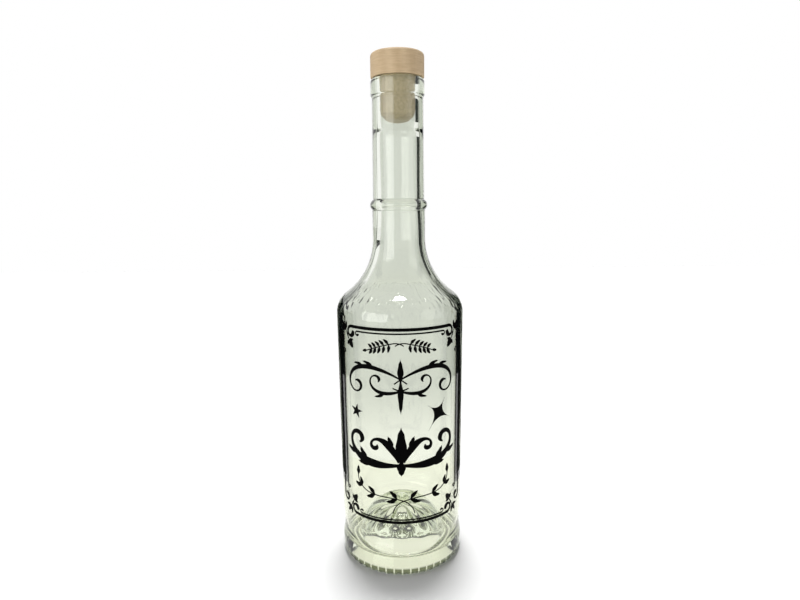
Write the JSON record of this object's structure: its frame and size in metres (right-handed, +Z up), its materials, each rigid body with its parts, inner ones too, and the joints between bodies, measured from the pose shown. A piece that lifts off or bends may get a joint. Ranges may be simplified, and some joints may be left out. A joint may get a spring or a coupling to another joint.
{
  "type": "spirit bottle with stopper",
  "caption": "Clear glass half-litre spirit bottle with a long beaded neck, a wood-headed push-in stopper and black film ornament on the front.",
  "frame": {"origin": "centre of the base, on the plane of the ring that the bottle stands on", "axes": "+Z up along the bottle's axis; the decorated front faces -Y; +X is to the right seen from the front"},
  "size_m": [0.0718, 0.0718, 0.2809],
  "materials": {
    "glass": "clear, smooth, faint green tint",
    "wood": "turned pale wood, fine grain, unvarnished",
    "synthetic": "beige synthetic cork, satin",
    "film": "black cut film, satin"
  },
  "bodies": {
    "bottle": {"glass_bottle": "glass", "film_line_top": "film", "film_line_bottom": "film", "film_line_left": "film", "film_line_right": "film", "film_fine_line_top": "film", "film_fine_line_bottom": "film", "film_fine_line_left": "film", "film_fine_line_right": "film", "film_corner_top_right": "film", "film_corner_top_left": "film", "film_corner_bottom_right": "film", "film_corner_bottom_left": "film", "film_laurel_top": "film", "film_laurel_bottom": "film", "film_flourish_upper": "film", "film_flourish_lower": "film", "film_star": "film", "film_sparkle": "film"},
    "stopper": {"stopper_head": "wood", "stopper_shank": "synthetic"}
  },
  "joints": [
    {"name": "stopper_pull", "type": "slide", "parent": "bottle", "child": "stopper", "axis": [0, 0, 1], "range_m": [0, 0.045]}
  ]
}
